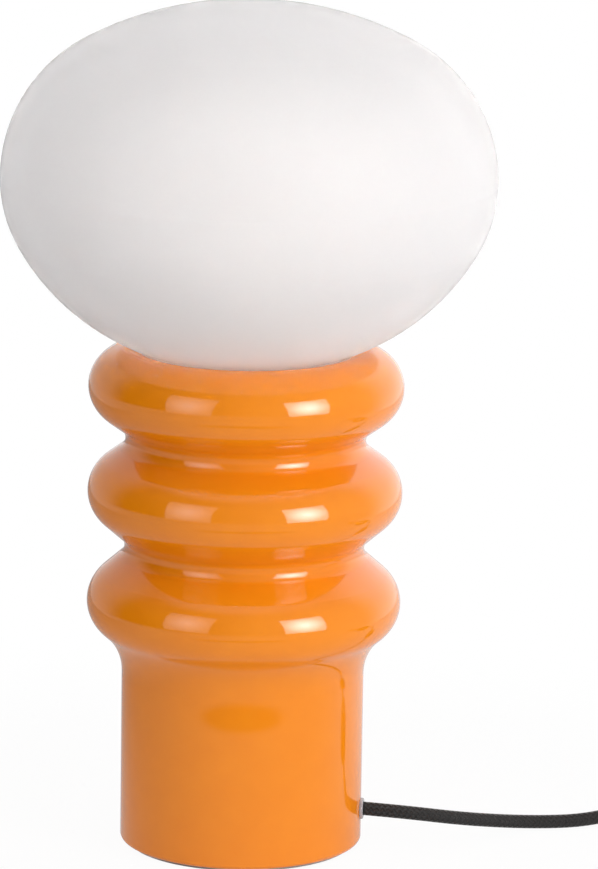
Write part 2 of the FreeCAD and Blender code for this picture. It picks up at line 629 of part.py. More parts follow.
def cord_switch():
    """Two moulded halves, a rocker on its pin, brass contacts and the two screws from below."""
    bulge = "(switch_half ^ 2 + (switch_waist - switch_end) ^ 2) / (2 * (switch_waist - switch_end))"
    plan = [
        ("-switch_half", "-switch_end", "left", bulge), ("switch_half", "-switch_end"),
        ("switch_half", "switch_end", "left", bulge), ("-switch_half", "switch_end"),
    ]

    def box(half, width):
        return [(f"-{half}", f"-{width}"), (half, f"-{width}"), (half, width), (f"-{half}", width)]

    channel = [("0", "switch_split", f"{CORD_RADIUS} + channel_gap")]
    low = padded("switch_base", "XY_Plane", lambda face: outline(face, plan), "switch_split")
    round_edges(low, "switch_base_edge", "switch_edge / 2",
                lambda edge, middle: abs(middle.z) < 0.01)
    high = padded("switch_cover", "XY_Plane", lambda face: outline(face, plan),
                  "switch_height - switch_split", height="switch_split")
    round_edges(high, "switch_cover_edge", "switch_edge",
                lambda edge, middle: abs(middle.z - worth("switch_height")) < 0.01)
    hollow = box("cavity_half", "cavity_width")
    pocket(low, "base_hollow", "XY_Plane", lambda face: outline(face, hollow),
           "switch_split - switch_floor", height="switch_floor")
    pocket(high, "cover_hollow", "XY_Plane", lambda face: outline(face, hollow),
           "switch_height - switch_roof - switch_split", height="switch_split")
    window = box("window_half", "window_width")
    pocket(high, "rocker_window", "XY_Plane", lambda face: outline(face, window),
           "switch_height - switch_split", height="switch_split")
    pin_seat = [("0", "pin_height", "pin_radius + thread_gap")]
    pocket(high, "pin_seat", "XZ_Plane", lambda face: circles(face, pin_seat), "2 * pin_half",
           both_ways=True)
    screws = [("screw_place", "-screw_side"), ("-screw_place", "screw_side")]
    shank = [place + ("screw_radius + screw_gap",) for place in screws]
    sink = [place + ("screw_head + screw_gap",) for place in screws]
    for half, name in ((low, "base"), (high, "cover")):
        pocket(half, f"{name}_channel", "YZ_Plane", lambda face: circles(face, channel),
               "2 * switch_half", both_ways=True)
        pocket(half, f"{name}_screw_holes", "XY_Plane", lambda face: circles(face, shank), "screw_tip")
    pocket(low, "screw_heads", "XY_Plane", lambda face: circles(face, sink), "screw_sink")
    node(on_the_table(low, SWITCH_PLACE, SWITCH_HEADING, 0), "switch_base")
    node(on_the_table(high, SWITCH_PLACE, SWITCH_HEADING, 0), "switch_cover")

    wedge = [
        ("-rocker_nose", "-rocker_depth"), ("rocker_nose", "-rocker_depth"),
        ("rocker_waist", "-rocker_shoulder"), ("rocker_half", "rocker_rise"), ("0", "rocker_dip"),
        ("-rocker_half", "rocker_rise"), ("-rocker_waist", "-rocker_shoulder"),
    ]
    rocker = padded("switch_rocker", "XZ_Plane", lambda face: outline(face, wedge), "2 * rocker_width",
                    both_ways=True)
    pocket(rocker, "rocker_bore", "XZ_Plane",
           lambda face: circles(face, [("0", "0", "pin_radius + thread_gap")]), "4 * rocker_width",
           both_ways=True)
    tipped = Rotation(Vector(0, 1, 0), worth("rocker_tilt"))
    node(on_the_table(rocker, SWITCH_PLACE, SWITCH_HEADING, worth("pin_height"), tipped), "switch_rocker")
    pin = turned("rocker_pin", [
        ("0", "-pin_half"), ("pin_radius", "-pin_half"), ("pin_radius", "pin_half"), ("0", "pin_half"),
    ])
    across = Rotation(Vector(1, 0, 0), 90)
    node(on_the_table(pin, SWITCH_PLACE, SWITCH_HEADING, worth("pin_height"), across), "rocker_pin")

    screw = turned("switch_screw", [
        ("0", "screw_sink - screw_head_height"), ("screw_head", "screw_sink - screw_head_height"),
        ("screw_head", "screw_sink"), ("screw_radius", "screw_sink"),
        ("screw_radius", "screw_tip - screw_gap"), ("0", "screw_tip - screw_gap"),
    ])
    turn = Rotation(Vector(0, 0, 1), SWITCH_HEADING)
    offset = Vector(worth("screw_place"), -worth("screw_side"), 0)
    screw.Placement = Placement(SWITCH_PLACE + turn.multVec(offset), turn)
    other = doc.addObject("Part::Feature", "switch_screw_other")
    other.Shape = screw.Shape.copy()
    other.Placement = Placement(SWITCH_PLACE - turn.multVec(offset), turn)
    both = doc.addObject("Part::Compound", "switch_screws")
    both.Links = [screw, other]
    node(both, "switch_screws")

    near, far = "contact_place - contact_length / 2", "contact_place + contact_length / 2"
    square = [(near, "-contact_width / 2"), (far, "-contact_width / 2"), (far, "contact_width / 2"),
              (near, "contact_width / 2")]
    contact = padded("switch_contact", "XY_Plane", lambda face: outline(face, square), "contact_height",
                     height="switch_floor")
    on_the_table(contact, SWITCH_PLACE, SWITCH_HEADING, 0)
    twin = doc.addObject("Part::Feature", "switch_contact_other")
    twin.Shape = contact.Shape.copy()
    twin.Placement = Placement(SWITCH_PLACE, turn * Rotation(Vector(0, 0, 1), 180))
    contacts = doc.addObject("Part::Compound", "switch_contacts")
    contacts.Links = [contact, twin]
    node(contacts, "switch_contacts")


def plug():
    """Flat two-pin plug: moulded body, half-sleeved pins and the ribbed strain relief."""
    middle = worth("plug_thickness / 2")
    plan = [
        ("0", "-plug_front"), ("0", "plug_front"), ("-plug_shoulder", "plug_front", "left", "plug_sweep"),
        ("-plug_length", "plug_rear"), ("-plug_length", "-plug_rear", "left", "plug_sweep"),
        ("-plug_shoulder", "-plug_front"),
    ]
    body = padded("plug_body", "XY_Plane", lambda face: outline(face, plan), "plug_thickness",
                  both_ways=True)
    wide = worth("plug_front")
    round_edges(body, "plug_bevel", "plug_chamfer",
                lambda edge, spot: abs(abs(spot.y) - wide) < 0.01 and abs(spot.z) > 1,
                kind="PartDesign::Chamfer")
    round_edges(body, "plug_rounding", "plug_edge",
                lambda edge, spot: abs(abs(spot.z) - middle) < 0.01 and abs(spot.x) > 0.01)
    roots = [(f"{sign}pin_spacing / 2", "0", "pin_core + sleeve_gap") for sign in ("", "-")]
    pocket(body, "pin_roots", "YZ_Plane", lambda face: circles(face, roots), "pin_root", forward=False)
    node(on_the_table(body, PLUG_PLACE, PLUG_HEADING, middle), "plug_body")

    along = Rotation(Vector(0, 1, 0), 90)
    turn = Rotation(Vector(0, 0, 1), PLUG_HEADING)

    def both_pins(label, corners):
        piece = turned(f"{label}_one", corners)
        copies = [piece]
        side = turn.multVec(Vector(0, worth("pin_spacing / 2"), 0))
        on_the_table(piece, PLUG_PLACE + side, PLUG_HEADING, middle, along)
        other = doc.addObject("Part::Feature", f"{label}_other")
        other.Shape = piece.Shape.copy()
        on_the_table(other, PLUG_PLACE - side, PLUG_HEADING, middle, along)
        copies.append(other)
        group = doc.addObject("Part::Compound", label)
        group.Links = copies
        node(group, label)

    both_pins("plug_pins", [
        ("0", "-pin_root"), ("pin_core", "-pin_root"), ("pin_core", "sleeve_length"),
        ("pin_tip", "sleeve_length"), ("pin_tip", "pin_length - pin_tip", "left", "pin_tip"),
        ("0", "pin_length"),
    ])
    both_pins("plug_sleeves", [
        ("pin_core + sleeve_gap", "0"), ("sleeve_radius", "0"), ("sleeve_radius", "sleeve_length"),
        ("pin_core + sleeve_gap", "sleeve_length"),
    ])

    ribs = int(worth("relief_ribs"))
    bore = f"{CORD_RADIUS} + cord_gap"
    corners = [(bore, "0"), ("relief_root", "0")]
    for rib in range(ribs):
        foot = f"relief_length * {2 * rib + 1} / (2 * relief_ribs + 1)"
        head = f"relief_length * {2 * rib + 2} / (2 * relief_ribs + 1)"
        for height, depth in ((foot, "0"), (foot, "relief_groove"), (head, "relief_groove"), (head, "0")):
            taper = f"relief_root - (relief_root - relief_tip) * ({height}) / relief_length - {depth}"
            corners.append((taper, height))
    corners += [("relief_tip", "relief_length"), (bore, "relief_length")]
    relief = turned("plug_relief", corners)
    back = turn.multVec(Vector(-worth("plug_length"), 0, 0))
    backwards = Rotation(Vector(0, 1, 0), -90)
    node(on_the_table(relief, PLUG_PLACE + back, PLUG_HEADING, middle, backwards), "plug_relief")


def arc_edge(first, corner, last):
    """The arc that starts and ends along the two runs meeting at a corner."""
    chord_middle = (first + last) * 0.5
    half_turn = (corner - first).getAngle(last - first)
    sagitta = (last - first).Length / 2 * math.tan(half_turn / 2)
    through = chord_middle + (corner - chord_middle).normalize() * sagitta
    return Part.Arc(first, through, last).toShape()


def rounded_route(label, points, bend=None):
    """Straight runs joined by tangent arcs, as large as the runs allow or of one given radius."""
    edges = []
    radii = []
    start = points[0]
    for before, corner, after in zip(points, points[1:], points[2:]):
        turn = (corner - before).getAngle(after - corner)
        room = 0.45 * min((corner - before).Length, (after - corner).Length)
        cut = bend * math.tan(turn / 2) if bend else room
        radii.append(cut / math.tan(turn / 2))
        enter = corner + (before - corner).normalize() * cut
        leave = corner + (after - corner).normalize() * cut
        edges.append(Part.LineSegment(start, enter).toShape())
        edges.append(arc_edge(enter, corner, leave))
        start = leave
    edges.append(Part.LineSegment(start, points[-1]).toShape())
    print(label, "bend radii", [round(radius, 1) for radius in radii])
    return edges


def tube(label, edges, radius):
    """A round tube along a path of lines and arcs; its volume is compared with the path's."""
    path = Part.Wire(edges)
    start = edges[0].FirstParameter
    ring = Part.Wire(Part.makeCircle(radius, edges[0].valueAt(start), edges[0].tangentAt(start)))
    piece = doc.addObject("Part::Feature", label)
    piece.Shape = path.makePipeShell([ring], True, False)
    volume = math.pi * radius ** 2 * path.Length
    print(label, "length", round(path.Length, 1), "volume", round(piece.Shape.Volume / volume, 4))
    return node(piece, label)


def inner_cables():
    """The cord inside the foot, up into the nipple, and its two cores to the terminals."""
    way = Rotation(Vector(0, 0, 1), worth("exit_angle")).multVec(Vector(1, 0, 0))
    outside = way * worth(FLANGE_FACE) + Vector(0, 0, worth("exit_height"))
    corner = Vector(0, 0, worth("exit_height"))
    end = Vector(0, 0, worth(f"{HOLDER_FOOT} + wire_start"))
    tube("inner_cord", rounded_route("inner_cord", [outside, corner, end], worth("inner_bend")),
         worth(CORD_RADIUS))
    foot = worth(HOLDER_FOOT)
    block = worth("cap_height - block_height")
    reach = worth("block_place")
    turn_up = worth("cap_floor + wire_turn")
    for label, side in (("live_wire", 1), ("neutral_wire", -1)):
        near = side * worth("wire_place")
        points = [(near, worth("wire_start")), (near, turn_up), (side * reach, (turn_up + block) / 2),
                  (side * reach, block)]
        route = [Vector(across, 0, foot + up) for across, up in points]
        tube(label, rounded_route(label, route), worth("wire_radius"))


COIL_FLOOR = f"({CORD_RADIUS} + tie_thickness + tie_gap)"


def coil_point(turns, radius, pitch):
    """A point of the coil's centre line: spiral in, climb a layer in half a turn, spiral out."""
    climb_end = INBOUND_TURNS + CLIMB_TURNS
    inside = radius - pitch * INBOUND_TURNS
    climbed = min(max((turns - INBOUND_TURNS) / CLIMB_TURNS, 0), 1)
    if turns < INBOUND_TURNS:
        reach = radius - pitch * turns
    elif turns > climb_end:
        reach = inside + pitch * (turns - climb_end)
    else:
        reach = inside - pitch * CLIMB_TURNS * climbed * (1 - climbed)
    height = worth(COIL_FLOOR) + worth("layer_rise") * climbed ** 2 * (3 - 2 * climbed)
    angle = -2 * math.pi * turns
    return COIL_PLACE + Vector(reach * math.cos(angle), reach * math.sin(angle), height)


def biarc(first, first_way, last, last_way):
    """Two arcs that leave one point along its direction and reach the next along its own."""
    span = last - first
    ways = first_way + last_way
    square = 2 * (1 - first_way.dot(last_way))
    along = span.dot(ways)
    if square < 1e-9:
        reach = span.dot(span) / (2 * along)
    else:
        reach = (-along + math.sqrt(along ** 2 + square * span.dot(span))) / square
    first_corner = first + first_way * reach
    last_corner = last - last_way * reach
    joint = (first_corner + last_corner) * 0.5
    return [arc_edge(first, first_corner, joint), arc_edge(joint, last_corner, last)]


def coil():
    """The put-away length: one unbroken tube in two layers of loops, and the band that ties it."""
    radius, pitch = worth("coil_radius"), worth("coil_pitch")
    diameter = worth("cord_diameter")
    total = 2 * INBOUND_TURNS + CLIMB_TURNS
    step = 1e-4

    def spot(turns):
        return coil_point(turns, radius, pitch)

    def way(turns):
        return (spot(turns + step) - spot(turns - step)).normalize()

    marks = [quarter / QUARTERS for quarter in range(int(total * QUARTERS) + 1)]
    edges = []
    for before, after in zip(marks, marks[1:]):
        edges += biarc(spot(before), way(before), spot(after), way(after))
    start, end = spot(0), spot(total)
    edges.insert(0, Part.LineSegment(start - way(0) * diameter, start).toShape())
    edges.append(Part.LineSegment(end, end + way(total) * diameter).toShape())
    tube("cord_coil", edges, diameter / 2)

    samples = 48
    points = [spot(number / samples) for number in range(int(total * samples) + 1)]
    apart = samples // 4
    least = min((one - other).Length for number, one in enumerate(points)
                for other in points[number + apart:])
    print("cord_coil least gap to itself", round(least - diameter, 2))

    layer = COIL_FLOOR + " + layer_rise"
    near = f"(coil_radius - coil_pitch * {INBOUND_TURNS - 0.25} - {CORD_RADIUS} - tie_inner_gap)"
    far = f"(coil_radius - coil_pitch / 2 + {CORD_RADIUS} + tie_gap)"
    top = f"({layer} + {CORD_RADIUS} + tie_gap)"

    def band(low, grow, corner):
        left, right = f"-({far} + {grow})", f"-({near} - {grow})"
        high = f"({top} + {grow})"
        inset_low = f"({low} + {corner})"
        return [
            (f"{left} + {corner}", low), (f"{right} - {corner}", low, "left", corner),
            (right, inset_low), (right, f"{high} - {corner}", "left", corner),
            (f"{right} - {corner}", high), (f"{left} + {corner}", high, "left", corner),
            (left, f"{high} - {corner}"), (left, inset_low, "left", corner),
        ]

    def draw(face):
        outline(face, band("0", "tie_thickness", "tie_corner"))
        outline(face, band("tie_thickness", "0", "(tie_corner - tie_thickness)"))

    tie = padded("cord_tie", "XZ_Plane", draw, "tie_width", both_ways=True)
    tie.Placement = Placement(COIL_PLACE, Rotation())
    node(tie, "cord_tie")
    return start - way(0) * diameter, end + way(total) * diameter


def outer_cord():
    """The free cord: grommet to switch, switch to coil, coil to plug."""
    radius = worth(CORD_RADIUS)
    way = Rotation(Vector(0, 0, 1), worth("exit_angle")).multVec(Vector(1, 0, 0))
    start = way * worth(FLANGE_FACE) + Vector(0, 0, worth("exit_height"))
    ahead = Rotation(Vector(0, 0, 1), SWITCH_HEADING).multVec(Vector(1, 0, 0))
    seat = ahead * worth("cavity_half")
    level = Vector(0, 0, worth("switch_split"))
    switch_in = SWITCH_PLACE - seat + level
    switch_out = SWITCH_PLACE + seat + level
    coil_in, coil_out = coil()
    lead = [
        start, Vector(80, -6.8, 16.2), Vector(108, 4.2, 10), Vector(140, 20.5, 4), Vector(170, 27.5, radius),
        SWITCH_PLACE - ahead * worth("switch_half + lead_straight") + level, switch_in,
    ]
    tube("cord_lead", rounded_route("cord_lead", lead), radius)
    link = [
        switch_out, SWITCH_PLACE + ahead * worth("switch_half + link_straight") + level, Vector(292, 66, 5),
        Vector(325, 73.5, 3.6), Vector(365, 76, 3.6), Vector(404, 74.5, 3.7), Vector(432, 62, 4),
        Vector(446, 39.5, 4.3), coil_in,
    ]
    tube("cord_link", rounded_route("cord_link", link), radius)
    plug_way = Rotation(Vector(0, 0, 1), PLUG_HEADING).multVec(Vector(1, 0, 0))
    plug_rear = PLUG_PLACE - plug_way * worth("plug_length") + Vector(0, 0, worth("plug_thickness / 2"))
    tail = [
        coil_out, coil_out + Vector(0, -10, -0.3), plug_rear - plug_way * worth("tail_straight"), plug_rear,
    ]
    tube("cord_tail", rounded_route("cord_tail", tail), radius)


ceramic_base()
under_the_foot()
glass_globe()
cord_exit()
deck_joint()
lampholder()
bulb()
cord_switch()
plug()
inner_cables()
outer_cord()

doc.recompute()
for piece in doc.Objects:
    if "Invalid" in piece.State or "Error" in piece.State:
        raise ValueError(f"{piece.Label} failed: {piece.State}")
for piece in nodes:
    if piece.Shape.isNull() or not piece.Shape.isValid() or piece.Shape.Volume <= 0:
        raise ValueError(f"{piece.Label} has no valid solid")
os.makedirs("parts", exist_ok=True)
for piece in nodes:
    piece.Shape.exportStep(f"parts/{piece.Label}.step")
print(len(nodes), "sub-parts written")
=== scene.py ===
"""A table lamp: three glazed ceramic rings on a straight foot, an opal glass globe and a braided cord.

Lengths are in metres in the part's own frame: +Z up, the front towards -Y, the cord leaving towards +X.
"""
import math

import bmesh
import bpy
from mathutils import Matrix, Vector


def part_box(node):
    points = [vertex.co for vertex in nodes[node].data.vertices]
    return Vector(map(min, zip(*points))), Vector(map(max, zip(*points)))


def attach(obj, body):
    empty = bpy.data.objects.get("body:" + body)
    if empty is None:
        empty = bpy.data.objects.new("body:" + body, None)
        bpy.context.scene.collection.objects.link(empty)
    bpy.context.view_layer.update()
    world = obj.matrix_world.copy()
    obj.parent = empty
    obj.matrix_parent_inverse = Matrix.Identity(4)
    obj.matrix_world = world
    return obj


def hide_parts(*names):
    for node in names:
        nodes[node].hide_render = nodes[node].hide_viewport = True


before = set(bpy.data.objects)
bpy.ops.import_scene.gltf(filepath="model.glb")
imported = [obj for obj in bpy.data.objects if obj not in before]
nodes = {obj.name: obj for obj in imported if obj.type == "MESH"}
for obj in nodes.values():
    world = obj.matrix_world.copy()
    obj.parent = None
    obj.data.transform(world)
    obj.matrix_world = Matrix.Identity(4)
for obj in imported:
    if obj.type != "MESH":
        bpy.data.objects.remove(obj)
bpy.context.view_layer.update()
MM = 0.001


# Ceramic base: the slip-cast foot with its three rings, sunk deck and cord hole.
# Earthenware cast in a plaster mould, then glazed all over in orange and fired; it stands on its foot
# ring, and everything else is fixed to it or stands in it.
def linear(colour):
    """An sRGB hex colour as the linear numbers that a shader takes."""
    parts = [int(colour[place:place + 2], 16) / 255 for place in (1, 3, 5)]
    return (*[p / 12.92 if p <= 0.04045 else ((p + 0.055) / 1.055) ** 2.4 for p in parts], 1)


def put(tree, kind, settings, links=None):
    """Add a node with its settings, and link other nodes' outputs to its sockets."""
    made = tree.nodes.new(kind)
    for name, value in settings.items():
        if isinstance(name, int) or name in made.inputs:
            made.inputs[name].default_value = value
        else:
            setattr(made, name, value)
    for name, source in (links or {}).items():
        tree.links.new(source, made.inputs[name])
    return made


def finish(name, roughness, metallic=0, **sockets):
    """A new surface finish with its shader's plain numbers set."""
    material = bpy.data.materials.new(name)
    material.use_nodes = True
    shader = material.node_tree.nodes["Principled BSDF"]
    shader.inputs["Roughness"].default_value = roughness
    shader.inputs["Metallic"].default_value = metallic
    for socket, value in sockets.items():
        shader.inputs[socket.replace("_", " ")].default_value = value
    return material


def mottle(material, dark, pale, grain_mm, depth_mm, stretch=(1, 1, 1), detail=3):
    """Vary the colour between two shades, and raise the surface, in grains of a real size."""
    tree = material.node_tree
    shader = tree.nodes["Principled BSDF"]
    place = put(tree, "ShaderNodeTexCoord", {})
    turned = put(tree, "ShaderNodeMapping", {"Scale": stretch}, {"Vector": place.outputs["Object"]})
    grains = put(tree, "ShaderNodeTexNoise", {"Scale": 1 / (grain_mm * MM), "Detail": detail},
                 {"Vector": turned.outputs[0]})
    shades = put(tree, "ShaderNodeMix", {"data_type": "RGBA", 6: linear(dark), 7: linear(pale)},
                 {0: grains.outputs[0]})
    raised = put(tree, "ShaderNodeBump", {"Distance": depth_mm * MM, "Strength": 1},
                 {"Height": grains.outputs[0]})
    tree.links.new(shades.outputs[2], shader.inputs["Base Color"])
    tree.links.new(raised.outputs[0], shader.inputs["Normal"])
    return material


def dress(material, *names):
    """Give CAD nodes a finish."""
    for name in names:
        nodes[name].data.materials.clear()
        nodes[name].data.materials.append(material)


# A fired gloss glaze is a thin coat of coloured glass: sharp reflections that waver a little where
# the coat ran, and a colour that hardly changes.
glaze = finish("orange_gloss_glaze", roughness=0.045, IOR=1.58)
dress(mottle(glaze, "#E8820C", "#EE8A12", grain_mm=14, depth_mm=0.012), "ceramic_base")


# Felt ring and lid under the foot: the felt keeps the glaze off the table, the lid closes the hollow.
# The felt is die-cut and self-adhesive; the lid is moulded in white plastic and snaps into the foot
# opening behind a small bead.

# Needled wool felt: dull, with loose fibres that pale at a low angle.
felt = finish("grey_wool_felt", roughness=0.95, Sheen_Weight=0.4, Sheen_Roughness=0.5)
dress(mottle(felt, "#8E8C88", "#AFADA8", grain_mm=0.9, depth_mm=0.25, detail=8), "foot_felt")

# Moulded white plastic: an even satin white with a soft shine.
white_plastic = finish("white_moulded_plastic", roughness=0.38, IOR=1.49)
dress(mottle(white_plastic, "#E3E1DB", "#EDEBE6", grain_mm=0.8, depth_mm=0.01), "base_lid")


# Cord exit: a clear flanged bush in the foot's wall, and the clamp that holds the cord behind it.
# The bush is pressed in from outside and its collar springs open behind the wall; the clamp is a
# nylon block with one steel screw.

# Clear soft plastic: milky where it is thick, with a plain shine.
bush = finish("clear_pvc", roughness=0.22, IOR=1.53, Transmission_Weight=0.55)
dress(mottle(bush, "#D9D6DB", "#ECEAEE", grain_mm=2.5, depth_mm=0.02), "cord_grommet")
dress(white_plastic, "cord_clamp")

# Bright zinc plate: a cool, slightly cloudy metal.
zinc = finish("zinc_plated_steel", roughness=0.3, metallic=1)
dress(mottle(zinc, "#B4B6B8", "#CDD0D2", grain_mm=1.2, depth_mm=0.01), "cord_clamp_screw")


# Joint through the deck: hollow threaded nipple, a soft and a steel washer on each side, and a nut.
# Brass nipple, steel washers and nut; the soft washers keep the metal off the glaze.

# Turned brass: a warm metal with fine tool marks round its axis.
brass = finish("turned_brass", roughness=0.24, metallic=1)
dress(mottle(brass, "#C9A356", "#DDBD74", grain_mm=0.7, depth_mm=0.01, stretch=(1, 1, 12)), "nipple")

# Cast silicone: pale and dull, and lit a little from inside.
silicone = finish("translucent_silicone", roughness=0.42, IOR=1.41, Subsurface_Weight=0.3,
                  Subsurface_Radius=(1, 1, 1), Subsurface_Scale=0.004)
dress(mottle(silicone, "#D8D6D0", "#E6E4DF", grain_mm=1.5, depth_mm=0.015),
      "cushion_washers", "seat_ring")
dress(zinc, "clamp_washers", "lock_nut")


# Lampholder: cap, skirt, insulating insert, screw shell, foot contact and two terminals.
# The cap and skirt are white moulded thermoplastic screwed together, which keeps dark patches off the
# glass; the insert is pressed steatite and the live parts are brass.
dress(white_plastic, "holder_cap", "holder_skirt")

# Pressed and fired steatite: a chalky cream ceramic.
steatite = finish("unglazed_steatite", roughness=0.6)
dress(mottle(steatite, "#DAD4C6", "#E8E3D8", grain_mm=0.6, depth_mm=0.02), "holder_core")
dress(brass, "screw_shell", "centre_contact", "terminal_blocks")
dress(zinc, "terminal_screws")


# Wiring inside: the cord from the bush up to the nipple, and its two cores to the terminals.
# Two copper cores in brown and blue sleeves, under the same black textile braid as outside.

# The braid in the dark of the foot: matt and black.
inner_braid = finish("black_braid_inside", roughness=0.85, Sheen_Weight=0.2)
dress(mottle(inner_braid, "#161412", "#2E2A27", grain_mm=0.8, depth_mm=0.12), "inner_cord")

# Extruded sleeves: smooth and half glossy, in the usual colours of live and neutral.
brown_sleeve = finish("brown_pvc_sleeve", roughness=0.35)
dress(mottle(brown_sleeve, "#5A3320", "#6B3F28", grain_mm=0.8, depth_mm=0.01), "live_wire")
blue_sleeve = finish("blue_pvc_sleeve", roughness=0.35)
dress(mottle(blue_sleeve, "#1F5FA8", "#2C70BA", grain_mm=0.8, depth_mm=0.01), "neutral_wire")


# Bulb: a screw-in lamp with a nickel-plated cap, glass insulator, plastic housing and diffusing dome.
# The cap is rolled brass sheet, plated; the housing and dome are moulded and snapped together.

# Nickel plate on brass: a warm grey metal with soft mirror images.
nickel = finish("nickel_plated_brass", roughness=0.22, metallic=1)
dress(mottle(nickel, "#C6C1B6", "#DAD6CC", grain_mm=1.0, depth_mm=0.01), "bulb_contact")

# The cap's thread is rolled into the sheet as a round wave that climbs 3.62 mm a turn, right-handed;
# below it the cap draws in to the insulator, and above it runs out in a plain collar.
THREAD_CREST = 13.1 * MM
THREAD_ROOT = 12.2 * MM
THREAD_CLIMB = 3.62 * MM
THREAD_TURNS = 7
STEPS_A_TURN = 40
WAVE_STEPS = 8
NOSE = 1.6 * MM
COLLAR = 4 * MM
NOSE_TIP = 11 * MM
NOSE_SHOULDER = 11.7 * MM
COLLAR_FOOT = 12.9 * MM
cap_low, cap_high = [corner[2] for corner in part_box("bulb_cap")]
cap_sheet = bmesh.new()
wave = []
for step in range(WAVE_STEPS + 1):
    swell = (1 + math.cos(2 * math.pi * step / WAVE_STEPS)) / 2
    height = cap_low + THREAD_CLIMB * (step / WAVE_STEPS - 1)
    wave.append(cap_sheet.verts.new((THREAD_ROOT + (THREAD_CREST - THREAD_ROOT) * swell, 0, height)))
rolled = [cap_sheet.edges.new(pair) for pair in zip(wave, wave[1:])]
bmesh.ops.spin(cap_sheet, geom=wave + rolled, axis=(0, 0, 1), angle=2 * math.pi * THREAD_TURNS,
               steps=STEPS_A_TURN * THREAD_TURNS, dvec=(0, 0, THREAD_CLIMB / STEPS_A_TURN))
bmesh.ops.remove_doubles(cap_sheet, verts=cap_sheet.verts, dist=0.001 * MM)
for cut, upper, stages in (
        (cap_low + NOSE, False, [(NOSE_SHOULDER, cap_low + NOSE / 3), (NOSE_TIP, cap_low)]),
        (cap_high - COLLAR, True, [(COLLAR_FOOT, cap_high - 0.8 * COLLAR), (THREAD_CREST, cap_high)])):
    bmesh.ops.bisect_plane(cap_sheet, geom=cap_sheet.verts[:] + cap_sheet.edges[:] + cap_sheet.faces[:],
                           plane_co=(0, 0, cut), plane_no=(0, 0, 1),
                           clear_outer=upper, clear_inner=not upper)
    rim = [edge for edge in cap_sheet.edges
           if edge.is_boundary and all(abs(end.co.z - cut) < 0.01 * MM for end in edge.verts)]
    for reach, height in stages:
        drawn = bmesh.ops.extrude_edge_only(cap_sheet, edges=rim)["geom"]
        for corner in drawn:
            if isinstance(corner, bmesh.types.BMVert):
                outward = Vector((corner.co.x, corner.co.y)).normalized() * reach
                corner.co = (outward.x, outward.y, height)
        rim = [edge for edge in drawn if isinstance(edge, bmesh.types.BMEdge) and edge.is_boundary]
    bmesh.ops.contextual_create(cap_sheet, geom=rim)
bmesh.ops.recalc_face_normals(cap_sheet, faces=cap_sheet.faces)
cap_mesh = bpy.data.meshes.new("bulb_screw_cap")
cap_sheet.to_mesh(cap_mesh)
cap_sheet.free()
cap_mesh.polygons.foreach_set("use_smooth", [True] * len(cap_mesh.polygons))
cap_mesh.set_sharp_from_angle(angle=math.radians(50))
cap_mesh.materials.append(nickel)
screw_cap = bpy.data.objects.new("bulb_screw_cap", cap_mesh)
bpy.context.scene.collection.objects.link(screw_cap)
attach(screw_cap, "bulb")
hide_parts("bulb_cap")

# Black glass poured hot into the cap: near black, with sharp mirror images.
black_glass = finish("black_cap_glass", roughness=0.12, IOR=1.52)
dress(mottle(black_glass, "#0B0A0C", "#161418", grain_mm=1.2, depth_mm=0.01), "bulb_insulator")
dress(white_plastic, "bulb_housing")

# Moulded opal plastic: white, half glossy, and lit a little from inside.
diffuser = finish("opal_polycarbonate", roughness=0.35, IOR=1.58, Subsurface_Weight=0.4,
                  Subsurface_Radius=(1, 1, 1), Subsurface_Scale=0.004)
dress(mottle(diffuser, "#F0EEE8", "#F8F6F2", grain_mm=1.5, depth_mm=0.008), "bulb_dome")


# Glass globe: a blown opal shade whose neck stands on the silicone ring in the top recess.
# White opal glass, blown in a mould and acid-etched to a matt skin; its weight alone holds it.

# Opal glass passes most of the light and scatters all of it, so the globe is even and pale, its far
# side lights its near side, and nothing inside shows through.
opal = finish("etched_opal_glass", roughness=1, IOR=1.5, Transmission_Weight=0.78)
dress(mottle(opal, "#FEFDFD", "#FFFEFE", grain_mm=9, depth_mm=0.02), "glass_globe")

# Painted light: the glass gives off a faint glow of its own where it goes down into the top ring,
# to lighten the shade in the crevice there. It stands for light that opal glass carries down inside
# its wall and gives off where little falls from outside.
PAINTED_NECK_GLOW = 0.07
PAINTED_GLOW_REACH = 16 * MM
joint_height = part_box("ceramic_base")[1][2]
tree = opal.node_tree
place = put(tree, "ShaderNodeTexCoord", {})
parts = put(tree, "ShaderNodeSeparateXYZ", {}, {0: place.outputs["Object"]})
away = put(tree, "ShaderNodeMath", {"operation": "SUBTRACT", 1: joint_height}, {0: parts.outputs[2]})
reach = put(tree, "ShaderNodeMath", {"operation": "ABSOLUTE"}, {0: away.outputs[0]})
# Painted light: the glow is strongest at the ring and fades out upward and downward.
painted_glow = put(tree, "ShaderNodeMapRange", {"interpolation_type": "SMOOTHSTEP", "From Min": 0,
              "From Max": PAINTED_GLOW_REACH, "To Min": PAINTED_NECK_GLOW, "To Max": 0}, {0: reach.outputs[0]})
tree.links.new(painted_glow.outputs[0], tree.nodes["Principled BSDF"].inputs["Emission Strength"])


# Cord: one braided lead from the bush, through the hand switch, into a tied coil and on to the plug.
# Two insulated cores in a black textile braid; the route's points are listed, and the coil
# spirals in, climbs a layer in half a turn and spirals out again.
CORD_RADIUS = 3.25 * MM
COIL_PLACE = Vector((399.5, 9, 0)) * MM
COIL_REACH = 46.5 * MM
COIL_PITCH = 7.1 * MM
COIL_LOW = 4.35 * MM
COIL_RISE = 7.1 * MM
TURNS_IN = 2.75
TURNS_CLIMB = 0.5
POINTS_PER_TURN = 24


